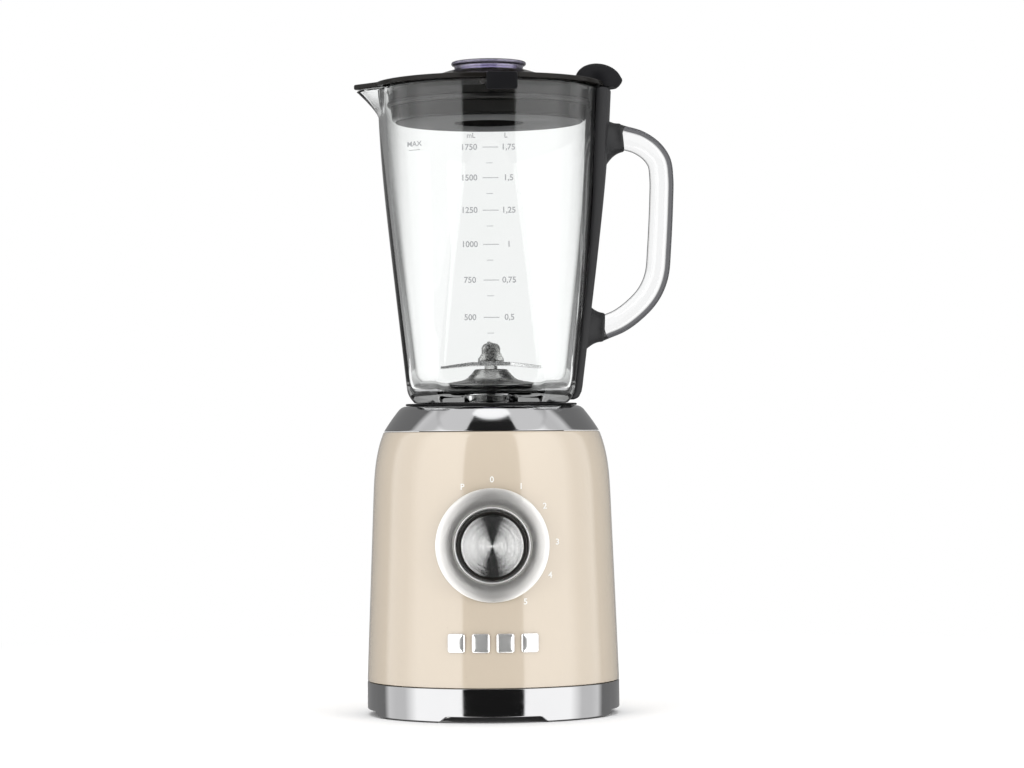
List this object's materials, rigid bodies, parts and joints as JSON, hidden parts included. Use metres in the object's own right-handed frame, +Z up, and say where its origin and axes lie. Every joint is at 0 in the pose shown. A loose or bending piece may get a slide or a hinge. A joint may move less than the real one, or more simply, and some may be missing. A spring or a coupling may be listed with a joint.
{
  "type": "countertop blender",
  "caption": "Countertop blender: round enamelled motor base with a chrome deck and a rotary dial, glass jug with pouring spout and D handle, lid and filler cap.",
  "frame": {"origin": "where the drive axis meets the worktop, 2 mm below the flat underside of the bottom plate", "axes": "+Z up along the drive axis, the dial faces -Y, the handle is on +X and the pouring spout on -X"},
  "size_m": [0.1988, 0.1714, 0.4055],
  "materials": {
    "cream_enamel": "smooth glossy cream enamel paint",
    "chrome_trim": "polished chrome",
    "satin_steel": "turned satin steel",
    "plain_steel": "stainless steel",
    "cast_aluminium": "die-cast",
    "laminations": "stacked sheet steel",
    "copper_wire": "enamelled copper",
    "brass": "machined",
    "carbon": "pressed graphite",
    "board": "green circuit board",
    "black_plastic": "matte black, finely textured",
    "gloss_black": "glossy black",
    "smoky_plastic": "translucent violet-grey",
    "clear_glass": "clear pressed glass",
    "silicone": "grey silicone",
    "black_rubber": "matte black rubber"
  },
  "bodies": {
    "base": {"base_shell": "cream_enamel", "top_deck": "chrome_trim", "base_band": "chrome_trim", "bottom_plate": "black_plastic", "cord_gland": "black_rubber", "drive_well": "black_plastic", "seat_pad": "black_rubber", "interlock_switch": "black_plastic", "speed_switch": "black_plastic", "circuit_board": "board", "dial_bezel": "satin_steel", "rubber_foot_1": "black_rubber", "rubber_foot_2": "black_rubber", "rubber_foot_3": "black_rubber", "rubber_foot_4": "black_rubber", "base_screw_1": "plain_steel", "base_screw_2": "plain_steel", "base_screw_3": "plain_steel", "base_screw_4": "plain_steel", "badge_bar_1": "chrome_trim", "badge_bar_2": "chrome_trim", "badge_bar_3": "chrome_trim", "badge_bar_4": "chrome_trim", "motor_field_core": "laminations", "field_coil_left": "copper_wire", "field_coil_right": "copper_wire", "motor_bracket_top": "cast_aluminium", "motor_bracket_bottom": "cast_aluminium", "bearing_top": "plain_steel", "bearing_bottom": "plain_steel", "brush_holder_left": "brass", "brush_holder_right": "brass", "carbon_brush_left": "carbon", "carbon_brush_right": "carbon"},
    "rotor": {"motor_shaft": "plain_steel", "armature_core": "laminations", "armature_winding": "copper_wire", "commutator": "copper_wire", "cooling_fan": "black_plastic", "drive_coupling": "black_rubber"},
    "knob": {"knob_body": "gloss_black", "knob_face": "satin_steel", "knob_spindle": "plain_steel"},
    "plunger": {"interlock_plunger": "black_plastic"},
    "jug": {"glass_jug": "clear_glass", "handle_spine": "black_plastic", "handle_grip": "clear_glass", "jug_collar": "black_plastic", "blade_holder": "plain_steel", "blade_gasket": "silicone", "bearing_bush": "brass"},
    "blades": {"blade_shaft": "plain_steel", "blade_lower": "plain_steel", "blade_upper": "plain_steel", "blade_nut": "plain_steel", "jug_coupling": "plain_steel"},
    "lid": {"lid": "gloss_black", "lid_seal": "silicone"},
    "cap": {"filler_cap": "smoky_plastic"}
  },
  "joints": [
    {"name": "motor_spin", "type": "hinge", "parent": "base", "child": "rotor", "pos_m": [0, 0, 0.095], "axis": [0, 0, 1], "continuous": true},
    {"name": "knob_turn", "type": "hinge", "parent": "base", "child": "knob", "pos_m": [0, -0.083, 0.1066], "axis": [0, 1, 0], "range_deg": [-30, 150]},
    {"name": "jug_lift", "type": "slide", "parent": "base", "child": "jug", "axis": [0, 0, 1], "range_m": [0, 0.06]},
    {"name": "interlock_travel", "type": "slide", "parent": "base", "child": "plunger", "axis": [0, 0, 1], "range_m": [0, 0.004]},
    {"name": "blade_spin", "type": "hinge", "parent": "jug", "child": "blades", "pos_m": [0, 0, 0.2], "axis": [0, 0, 1], "continuous": true},
    {"name": "lid_lift", "type": "slide", "parent": "jug", "child": "lid", "axis": [0, 0, 1], "range_m": [0, 0.05]},
    {"name": "cap_lift", "type": "slide", "parent": "lid", "child": "cap", "axis": [0, 0, 1], "range_m": [0, 0.05]}
  ],
  "couplings": [
    {"joint": "blade_spin", "follows": "motor_spin", "ratio": 1},
    {"joint": "interlock_travel", "follows": "jug_lift", "ratio": 0.0665}
  ]
}
